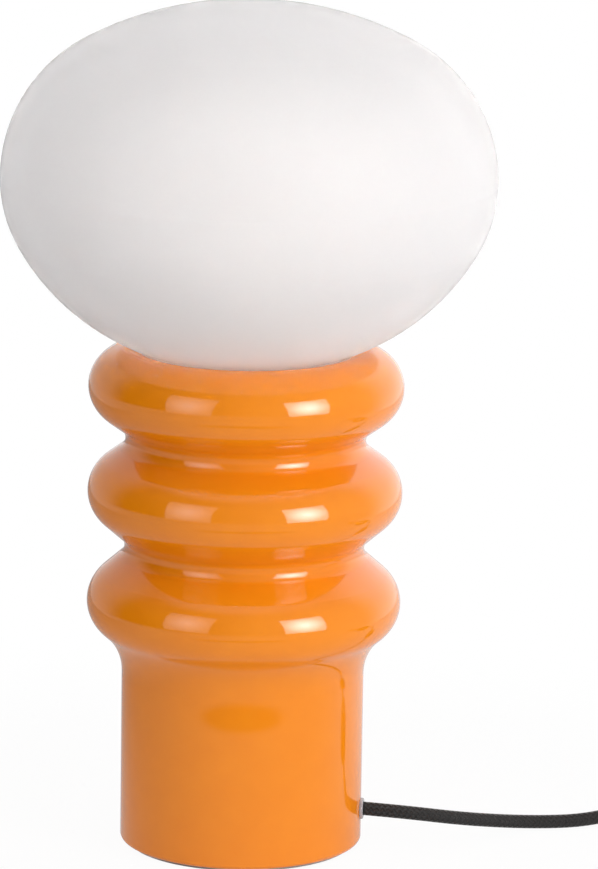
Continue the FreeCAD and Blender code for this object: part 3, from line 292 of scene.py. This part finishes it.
def coil_point(turns):
    """The coil's centre line after so many turns."""
    climbed = min(max((turns - TURNS_IN) / TURNS_CLIMB, 0), 1)
    inside = COIL_REACH - COIL_PITCH * TURNS_IN
    reach = inside - COIL_PITCH * TURNS_CLIMB * climbed * (1 - climbed)
    if turns < TURNS_IN:
        reach = COIL_REACH - COIL_PITCH * turns
    elif turns > TURNS_IN + TURNS_CLIMB:
        reach = inside + COIL_PITCH * (turns - TURNS_IN - TURNS_CLIMB)
    height = COIL_LOW + COIL_RISE * climbed ** 2 * (3 - 2 * climbed)
    angle = -2 * math.pi * turns
    return COIL_PLACE + Vector((reach * math.cos(angle), reach * math.sin(angle), height))


LEAD_MM = [(59.06, -7.25, 18), (80, -6.8, 16.2), (108, 4.2, 10), (140, 20.5, 4), (170, 27.5, 3.25),
           (195.14, 35.54, 8.5), (209.96, 40.07, 8.5), (252.04, 52.93, 8.5), (268.3, 57.9, 8.5),
           (292, 66, 5), (325, 73.5, 3.6), (365, 76, 3.6), (404, 74.5, 3.7), (432, 62, 4), (446, 39.5, 4.3),
           (446, 15.5, 4.35)]
TAIL_MM = [(446, 2.5, 11.45), (446, -7.5, 11.15), (446, -25, 6.85), (446, -57, 6.85)]
all_turns = round((2 * TURNS_IN + TURNS_CLIMB) * POINTS_PER_TURN)
route = [Vector(point) * MM for point in LEAD_MM]
route += [coil_point(step / POINTS_PER_TURN) for step in range(1, all_turns)]
route += [Vector(point) * MM for point in TAIL_MM]


def smooth_line(name, points):
    """A curve object that follows given points as one smooth line."""
    curve = bpy.data.curves.new(name, "CURVE")
    curve.dimensions = "3D"
    curve.resolution_u = 6
    curve.bevel_resolution = 8
    spline = curve.splines.new("NURBS")
    spline.points.add(len(points) - 1)
    for knot, point in zip(spline.points, points):
        knot.co = (*point, 1)
    spline.order_u = 3
    spline.use_endpoint_u = True
    line = bpy.data.objects.new(name, curve)
    bpy.context.scene.collection.objects.link(line)
    return line


def mesh_of(line):
    """The mesh that a curve object gives."""
    bpy.context.view_layer.update()
    return bpy.data.meshes.new_from_object(line.evaluated_get(bpy.context.evaluated_depsgraph_get()))


thread = smooth_line("cord_thread", route)
middle = [vertex.co.copy() for vertex in mesh_of(thread).vertices]
thread.data.bevel_depth = CORD_RADIUS
cord_mesh = mesh_of(thread)
bpy.data.objects.remove(thread)
sides = len(cord_mesh.vertices) // len(middle)
travelled = [0.0]
for before, after in zip(middle, middle[1:]):
    travelled.append(travelled[-1] + (after - before).length)
braid_map = cord_mesh.uv_layers[0] if cord_mesh.uv_layers else cord_mesh.uv_layers.new(name="braid")
for face in cord_mesh.polygons:
    corners = [cord_mesh.loops[loop].vertex_index for loop in face.loop_indices]
    wraps = {corner % sides for corner in corners} >= {0, sides - 1}
    for loop, corner in zip(face.loop_indices, corners):
        around = corner % sides
        share = 1 if wraps and around == 0 else around / sides
        braid_map.data[loop].uv = (travelled[min(corner // sides, len(middle) - 1)], share)
cord_mesh.polygons.foreach_set("use_smooth", [True] * len(cord_mesh.polygons))
cord = bpy.data.objects.new("cord", cord_mesh)
bpy.context.scene.collection.objects.link(cord)

# Sixteen yarns wind each way round the cord and pass over and under each other; each yarn bundle is
# about 0.9 mm wide and goes once round in 22 mm. Each crown is raised, and is coloured lighter as a
# painted highlight, with painted shade in the gaps between the yarns.
YARNS_EACH_WAY = 16
YARN_LEAD = 22 * MM
braid = finish("black_textile_braid", roughness=0.7, Sheen_Weight=0.12, Sheen_Roughness=0.4)
tree = braid.node_tree
shader = tree.nodes["Principled BSDF"]
place = put(tree, "ShaderNodeTexCoord", {})
yarn_scale = (math.sqrt(2) * YARNS_EACH_WAY / YARN_LEAD / 2, math.sqrt(2) * YARNS_EACH_WAY / 2, 1)
crossed = put(tree, "ShaderNodeMapping", {"Scale": yarn_scale, "Rotation": (0, 0, math.radians(45))},
              {"Vector": place.outputs["UV"]})
ways = put(tree, "ShaderNodeSeparateXYZ", {}, {0: crossed.outputs[0]})
one_way = put(tree, "ShaderNodeMath", {"operation": "PINGPONG", 1: 0.5}, {0: ways.outputs[0]})
other_way = put(tree, "ShaderNodeMath", {"operation": "PINGPONG", 1: 0.5}, {0: ways.outputs[1]})
over = put(tree, "ShaderNodeTexChecker", {"Scale": 1}, {"Vector": crossed.outputs[0]})
yarns = put(tree, "ShaderNodeMix", {"data_type": "FLOAT"},
            {0: over.outputs[1], 2: one_way.outputs[0], 3: other_way.outputs[0]})
yarn_crowns = put(tree, "ShaderNodeMapRange", {"From Min": 0, "From Max": 0.5, "To Min": 0, "To Max": 1},
            {0: yarns.outputs[0]})
# Painted highlight on each yarn's crown and painted shade between the yarns.
painted_yarn_shading = put(tree, "ShaderNodeMix", {"data_type": "RGBA", 6: linear("#0B0A0A"), 7: linear("#211E1D")},
                  {0: yarn_crowns.outputs[0]})
raised = put(tree, "ShaderNodeBump", {"Distance": 0.35 * MM, "Strength": 1}, {"Height": yarn_crowns.outputs[0]})
tree.links.new(painted_yarn_shading.outputs[2], shader.inputs["Base Color"])
tree.links.new(raised.outputs[0], shader.inputs["Normal"])
cord_mesh.materials.clear()
cord_mesh.materials.append(braid)

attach(cord, "lamp")
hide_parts("cord_lead", "cord_link", "cord_coil", "cord_tail")

# Woven hook-and-loop tape: matt black with a short nap.
tie_tape = finish("black_hook_and_loop_tie", roughness=0.9, Sheen_Weight=0.3)
dress(mottle(tie_tape, "#121213", "#29282A", grain_mm=0.7, depth_mm=0.2, detail=6), "cord_tie")


# Hand switch: two black shells screwed together round a rocker on a steel pin.
# Moulded in black plastic with a fine spark-eroded texture; the contacts are brass.

# The texture leaves the black satin; the rocker is polished by the mould.
black_plastic = finish("black_moulded_plastic", roughness=0.42, IOR=1.5)
dress(mottle(black_plastic, "#151516", "#1F1F21", grain_mm=0.5, depth_mm=0.02),
      "switch_base", "switch_cover")
rocker_plastic = finish("black_gloss_rocker", roughness=0.25, IOR=1.5)
dress(mottle(rocker_plastic, "#1B1B1D", "#252527", grain_mm=0.6, depth_mm=0.01), "switch_rocker")
dress(zinc, "rocker_pin", "switch_screws")
dress(brass, "switch_contacts")


# Plug: a flat two-pin mains plug moulded onto the cord, with sleeved pins and a ribbed relief.
# Black moulded plastic round nickel-plated brass pins.
dress(black_plastic, "plug_body", "plug_sleeves", "plug_relief")
dress(nickel, "plug_pins")


# Floor: a white table top, which the camera sees as white nearly throughout.
# Painted board, as wide and deep as the glaze shows it. Its own white hides all but a little of the
# shadow near the lamp. In mirror rays it shows painted light instead of its lit colour: paler on the
# right and behind, with painted shade, a darker bow, in front.
TABLE_SIDE = 0.6
TABLE_FRONT = -0.55
TABLE_BACK = 1.3
BOW_REACH = 0.335
BOW_DEEP = 0.03
BOW_WIDE = 0.2
BOW_PAINTED_SHADE = 0.12
FRONT_PAINTED_LIGHT = 0.6
LEFT_PAINTED_LIGHT = 0.35
RIGHT_PAINTED_LIGHT = 0.95
SHADOW_REACH = 0.2
SHADOW_SHARE = 0.05
sheet = bmesh.new()
bmesh.ops.create_grid(sheet, x_segments=1, y_segments=1, size=0.5)
bmesh.ops.scale(sheet, vec=(2 * TABLE_SIDE, TABLE_BACK - TABLE_FRONT, 1), verts=sheet.verts)
bmesh.ops.translate(sheet, vec=(0, (TABLE_BACK + TABLE_FRONT) / 2, 0), verts=sheet.verts)
floor_mesh = bpy.data.meshes.new("floor")
sheet.to_mesh(floor_mesh)
sheet.free()
floor = bpy.data.objects.new("floor", floor_mesh)
bpy.context.scene.collection.objects.link(floor)
board = bpy.data.materials.new("white_board")
board.use_nodes = True
tree = board.node_tree
tree.nodes.clear()
rays = put(tree, "ShaderNodeLightPath", {})
spot = put(tree, "ShaderNodeTexCoord", {})
parts = put(tree, "ShaderNodeSeparateXYZ", {}, {0: spot.outputs["Object"]})
reach = put(tree, "ShaderNodeVectorMath", {"operation": "LENGTH"}, {0: spot.outputs["Object"]})
straight = put(tree, "ShaderNodeMath", {"operation": "MAXIMUM"},
               {0: rays.outputs["Is Camera Ray"], 1: rays.outputs["Is Transmission Ray"]})
plain = put(tree, "ShaderNodeMapRange", {"interpolation_type": "SMOOTHSTEP", "From Min": SHADOW_REACH,
            "From Max": 2 * SHADOW_REACH, "To Min": 1 - SHADOW_SHARE, "To Max": 1},
            {0: reach.outputs["Value"]})
share = put(tree, "ShaderNodeMath", {"operation": "MULTIPLY"}, {0: plain.outputs[0], 1: straight.outputs[0]})
off_bow = put(tree, "ShaderNodeMapRange", {"clamp": False, "From Min": BOW_REACH,
              "From Max": BOW_REACH + BOW_DEEP}, {0: reach.outputs["Value"]})
off_middle = put(tree, "ShaderNodeMath", {"operation": "DIVIDE", 1: BOW_WIDE}, {0: parts.outputs[0]})
from_bow = put(tree, "ShaderNodeCombineXYZ", {}, {0: off_bow.outputs[0], 1: off_middle.outputs[0]})
apart = put(tree, "ShaderNodeVectorMath", {"operation": "LENGTH"}, {0: from_bow.outputs[0]})
front = put(tree, "ShaderNodeMapRange", {"interpolation_type": "SMOOTHSTEP", "From Min": 0.75,
            "From Max": 1.15, "To Min": BOW_PAINTED_SHADE, "To Max": FRONT_PAINTED_LIGHT}, {0: apart.outputs["Value"]})
across = put(tree, "ShaderNodeMapRange", {"interpolation_type": "SMOOTHSTEP", "From Min": -0.3,
             "From Max": 0.3, "To Min": LEFT_PAINTED_LIGHT, "To Max": RIGHT_PAINTED_LIGHT}, {0: parts.outputs[0]})
behind = put(tree, "ShaderNodeMapRange", {"interpolation_type": "SMOOTHSTEP", "From Min": -0.15,
             "From Max": 0.2, "To Min": 0, "To Max": 1}, {0: parts.outputs[1]})
mirrored = put(tree, "ShaderNodeMix", {"data_type": "FLOAT"},
               {0: behind.outputs[0], 2: front.outputs[0], 3: across.outputs[0]})
matt = put(tree, "ShaderNodeBsdfDiffuse", {"Color": linear("#F6F6F6")})
# Painted light and shade: for mirror rays the board glows by this pattern instead of being lit.
pale = put(tree, "ShaderNodeEmission", {}, {"Strength": mirrored.outputs[0]})
white = put(tree, "ShaderNodeEmission", {"Color": (1, 1, 1, 1), "Strength": 1})
lit = put(tree, "ShaderNodeMixShader", {},
          {0: rays.outputs["Is Glossy Ray"], 1: matt.outputs[0], 2: pale.outputs[0]})
seen = put(tree, "ShaderNodeMixShader", {}, {0: share.outputs[0], 1: lit.outputs[0], 2: white.outputs[0]})
put(tree, "ShaderNodeOutputMaterial", {}, {0: seen.outputs[0]})
floor_mesh.materials.append(board)


# Studio: a pale room, brighter on the right and overhead, with one soft box on each side of the camera.
# In the glaze the room is dim round the camera and pale behind the lamp, overhead and low in front, and
# both boxes show as windows; to the camera itself, and through clear pieces, the room is white.
FILL_LEFT = 0.18
FILL_RIGHT = 0.72
FILL_ABOVE = 0.76
GLOSS_AHEAD = 0.6
GLOSS_LOW = 0.55
GLOSS_BACK_LEFT = 0.65
GLOSS_BACK_RIGHT = 1.5
GLOSS_ABOVE = 0.8
world = bpy.data.worlds.new("studio")
bpy.context.scene.world = world
world.use_nodes = True
tree = world.node_tree
tree.nodes.clear()
rays = put(tree, "ShaderNodeLightPath", {})
way = put(tree, "ShaderNodeTexCoord", {})
parts = put(tree, "ShaderNodeSeparateXYZ", {}, {0: way.outputs["Generated"]})
side = put(tree, "ShaderNodeMapRange", {"interpolation_type": "SMOOTHSTEP", "From Min": -0.7,
           "From Max": 0.7, "To Min": FILL_LEFT, "To Max": FILL_RIGHT}, {0: parts.outputs[0]})
upward = put(tree, "ShaderNodeMapRange", {"interpolation_type": "SMOOTHSTEP", "From Min": 0,
             "From Max": 0.8, "To Min": 0, "To Max": 1}, {0: parts.outputs[2]})
fill = put(tree, "ShaderNodeMix", {"data_type": "FLOAT", 3: FILL_ABOVE},
           {0: upward.outputs[0], 2: side.outputs[0]})
dim = put(tree, "ShaderNodeMapRange", {"From Min": -1, "From Max": 1, "To Min": 0, "To Max": GLOSS_AHEAD},
          {0: parts.outputs[0]})
low = put(tree, "ShaderNodeMapRange", {"interpolation_type": "SMOOTHSTEP", "From Min": -0.16,
          "From Max": -0.08, "To Min": 1, "To Max": 0}, {0: parts.outputs[2]})
ahead = put(tree, "ShaderNodeMix", {"data_type": "FLOAT", 3: GLOSS_LOW},
            {0: low.outputs[0], 2: dim.outputs[0]})
sideways = put(tree, "ShaderNodeMapRange", {"interpolation_type": "SMOOTHSTEP", "From Min": -0.6,
               "From Max": 0.6, "To Min": GLOSS_BACK_LEFT, "To Max": GLOSS_BACK_RIGHT},
               {0: parts.outputs[0]})
behind = put(tree, "ShaderNodeMapRange", {"interpolation_type": "SMOOTHSTEP", "From Min": 0.1,
             "From Max": 0.6, "To Min": 0, "To Max": 1}, {0: parts.outputs[1]})
walls = put(tree, "ShaderNodeMix", {"data_type": "FLOAT"},
            {0: behind.outputs[0], 2: ahead.outputs[0], 3: sideways.outputs[0]})
overhead = put(tree, "ShaderNodeMapRange", {"interpolation_type": "SMOOTHSTEP", "From Min": 0.75,
               "From Max": 0.95, "To Min": 0, "To Max": 1}, {0: parts.outputs[2]})
mirrored = put(tree, "ShaderNodeMix", {"data_type": "FLOAT", 3: GLOSS_ABOVE},
               {0: overhead.outputs[0], 2: walls.outputs[0]})
room = put(tree, "ShaderNodeMix", {"data_type": "FLOAT"},
           {0: rays.outputs["Is Glossy Ray"], 2: fill.outputs[0], 3: mirrored.outputs[0]})
straight = put(tree, "ShaderNodeMath", {"operation": "MAXIMUM"},
               {0: rays.outputs["Is Camera Ray"], 1: rays.outputs["Is Transmission Ray"]})
strength = put(tree, "ShaderNodeMath", {"operation": "MAXIMUM"},
               {0: room.outputs[0], 1: straight.outputs[0]})
sky = put(tree, "ShaderNodeBackground", {"Color": (1, 1, 1, 1)}, {"Strength": strength.outputs[0]})
put(tree, "ShaderNodeOutputWorld", {}, {0: sky.outputs[0]})

# Flags keep each box off the glaze that faces away from it, which would mirror it at a low angle and
# burn out the rings' edges as seen from behind. What faces a box is told by where a mirror ray starts:
# outward from the lamp's axis there, against the way to the box.
AIM = Vector((0, 0, 0.2))
BOX_DISTANCE = 1.1
LIGHT_SHARE = 0.62
FLAG_SHARE = 0.05
FLAG_AWAY = 0.4
FLAG_FACING = 0.7
for name, bearing, height, width, tall, edge, core in (
        ("soft_box_right", 45, 11, 0.63, 0.74, 4.5, 12), ("soft_box_left", -41, 14, 0.7, 0.9, 1.2, 2.2)):
    turn, lift = math.radians(bearing), math.radians(height)
    back = Vector((math.sin(turn) * math.cos(lift), -math.cos(turn) * math.cos(lift), math.sin(lift)))
    panel = bmesh.new()
    bmesh.ops.create_grid(panel, x_segments=1, y_segments=1, size=0.5)
    bmesh.ops.scale(panel, vec=(width, tall, 1), verts=panel.verts)
    box_mesh = bpy.data.meshes.new(name)
    panel.to_mesh(box_mesh)
    panel.free()
    box = bpy.data.objects.new(name, box_mesh)
    bpy.context.scene.collection.objects.link(box)
    aimed = back.to_track_quat("Z", "Y").to_matrix().to_4x4()
    box.matrix_world = Matrix.Translation(AIM + back * BOX_DISTANCE) @ aimed
    box.visible_camera = False
    cloth = bpy.data.materials.new(f"{name}_cloth")
    cloth.use_nodes = True
    tree = cloth.node_tree
    tree.nodes.clear()
    spot = put(tree, "ShaderNodeTexCoord", {})
    shape = put(tree, "ShaderNodeMapping", {"Scale": (2 / width, 2 / tall, 1)},
                {"Vector": spot.outputs["Object"]})
    ball = put(tree, "ShaderNodeTexGradient", {"gradient_type": "SPHERICAL"}, {"Vector": shape.outputs[0]})
    glow = put(tree, "ShaderNodeMath", {"operation": "MULTIPLY_ADD", 1: core, 2: edge}, {0: ball.outputs[1]})
    rays = put(tree, "ShaderNodeLightPath", {})
    hit = put(tree, "ShaderNodeNewGeometry", {})
    start = put(tree, "ShaderNodeVectorMath", {"operation": "MULTIPLY_ADD"},
                {0: hit.outputs["Incoming"], 1: rays.outputs["Ray Length"], 2: hit.outputs["Position"]})
    level = put(tree, "ShaderNodeVectorMath", {"operation": "MULTIPLY", 1: (1, 1, 0)}, {0: start.outputs[0]})
    outward = put(tree, "ShaderNodeVectorMath", {"operation": "NORMALIZE"}, {0: level.outputs[0]})
    facing = put(tree, "ShaderNodeVectorMath", {"operation": "DOT_PRODUCT", 1: back},
                 {0: outward.outputs[0]})
    flagged = put(tree, "ShaderNodeMapRange", {"interpolation_type": "SMOOTHSTEP", "From Min": FLAG_AWAY,
                  "From Max": FLAG_FACING, "To Min": FLAG_SHARE, "To Max": 1},
                  {0: facing.outputs["Value"]})
    seen = put(tree, "ShaderNodeMix", {"data_type": "FLOAT", 2: LIGHT_SHARE},
               {0: rays.outputs["Is Glossy Ray"], 3: flagged.outputs[0]})
    sent = put(tree, "ShaderNodeMath", {"operation": "MULTIPLY"}, {0: glow.outputs[0], 1: seen.outputs[0]})
    shine = put(tree, "ShaderNodeEmission", {}, {"Strength": sent.outputs[0]})
    put(tree, "ShaderNodeOutputMaterial", {}, {0: shine.outputs[0]})
    box_mesh.materials.append(cloth)


# Camera: a long lens two and a half metres in front of the lamp and a little above it, as in the
# photograph. It looks down by about twelve degrees and leans by about one.
CAMERA_PLACE = Vector((0, -2.5, 0.742))
YAW, PITCH, ROLL = 0.0101, 0.2135, 0.0159
LENS_PIXELS = 5384.37
PHOTO_TALL = 869
SENSOR = 36
ahead = Vector((math.sin(YAW) * math.cos(PITCH), math.cos(YAW) * math.cos(PITCH), -math.sin(PITCH)))
right = ahead.cross(Vector((0, 0, 1))).normalized()
right.rotate(Matrix.Rotation(-ROLL, 3, ahead))
above = right.cross(ahead)
lens = bpy.data.cameras.new("camera")
lens.sensor_width = SENSOR
lens.lens = SENSOR * LENS_PIXELS / PHOTO_TALL
lens.clip_end = 50
camera = bpy.data.objects.new("camera", lens)
bpy.context.scene.collection.objects.link(camera)
axes = Matrix((right, above, -ahead)).transposed()
camera.matrix_world = Matrix.Translation(CAMERA_PLACE) @ axes.to_4x4()
bpy.context.scene.camera = camera
bpy.context.scene.view_settings.view_transform = "Standard"
